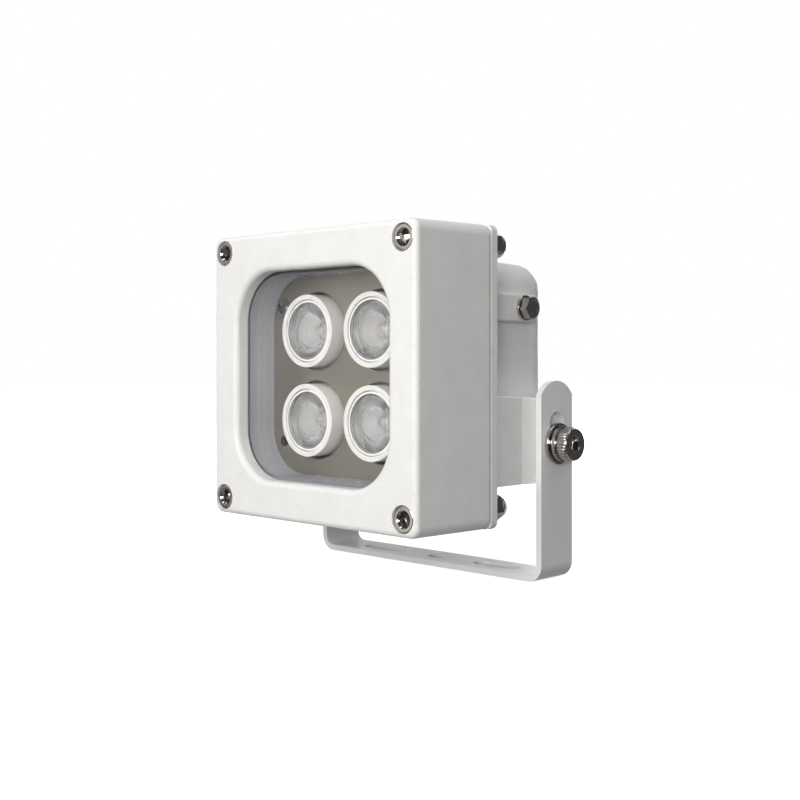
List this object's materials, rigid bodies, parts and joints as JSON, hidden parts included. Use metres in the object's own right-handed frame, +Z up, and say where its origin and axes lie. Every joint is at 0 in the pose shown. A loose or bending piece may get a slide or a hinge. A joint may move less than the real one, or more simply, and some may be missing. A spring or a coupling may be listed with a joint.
{
  "type": "white light illuminator",
  "caption": "Square sealed lamp head with round collimator lenses behind a glass window, tilting on two clamp bolts in a slotted U-bracket.",
  "frame": {"origin": "centre of the bracket's base hole, on the underside of the base", "axes": "+Z up, away from the base's underside; -Y the way the lamp's window faces; X along the tilt axis"},
  "size_m": [0.1386, 0.1085, 0.1355],
  "materials": {
    "housing_paint": "die-cast, white powder coat with a fine orange peel",
    "bracket_paint": "folded steel strip, white powder coat",
    "window_glass": "clear toughened glass",
    "seal_silicone": "matt silicone",
    "frame_paint": "smooth white paint",
    "plate_aluminium": "brushed",
    "holder_plastic": "moulded white plastic",
    "lens_acrylic": "clear moulded acrylic",
    "led_package": "ceramic base with a phosphor and a clear dome",
    "board_laminate": "white solder mask",
    "driver_plastic": "moulded",
    "screw_steel": "polished stainless steel",
    "gland_nylon": "moulded nylon"
  },
  "bodies": {
    "bracket": {"bracket": "bracket_paint"},
    "clamp": {"clamp_bolt_left": "screw_steel", "flat_washer_left": "screw_steel", "spring_washer_left": "screw_steel", "clamp_bolt_right": "screw_steel", "flat_washer_right": "screw_steel", "spring_washer_right": "screw_steel"},
    "head": {"front_housing": "housing_paint", "rear_housing": "housing_paint", "window_glass": "window_glass", "window_gasket": "seal_silicone", "housing_gasket": "seal_silicone", "gland_seal": "seal_silicone", "inner_frame": "frame_paint", "lens_plate": "plate_aluminium", "heat_plate": "plate_aluminium", "leds": "led_package", "led_board": "board_laminate", "driver_board": "board_laminate", "driver_parts": "driver_plastic", "driver_pillars": "driver_plastic", "terminal_block": "driver_plastic", "plate_screws": "screw_steel", "heat_plate_screws": "screw_steel", "plate_pillars": "screw_steel", "front_screws": "screw_steel", "dome_nuts": "screw_steel", "earth_screw": "screw_steel", "earth_washer": "screw_steel", "gland_body": "gland_nylon", "gland_nut": "gland_nylon", "gland_locknut": "gland_nylon", "lens_top_left": "lens_acrylic", "lens_top_right": "lens_acrylic", "lens_bottom_left": "lens_acrylic", "lens_bottom_right": "lens_acrylic", "lens_holder_top_left": "holder_plastic", "lens_holder_top_right": "holder_plastic", "lens_holder_bottom_left": "holder_plastic", "lens_holder_bottom_right": "holder_plastic"}
  },
  "joints": [
    {"name": "lift", "type": "slide", "parent": "bracket", "child": "clamp", "axis": [0, 0, 1], "range_m": [0, 0.0078]},
    {"name": "tilt", "type": "hinge", "parent": "clamp", "child": "head", "pos_m": [0, 0, 0.053], "axis": [1, 0, 0], "range_deg": [-90, 40]}
  ]
}
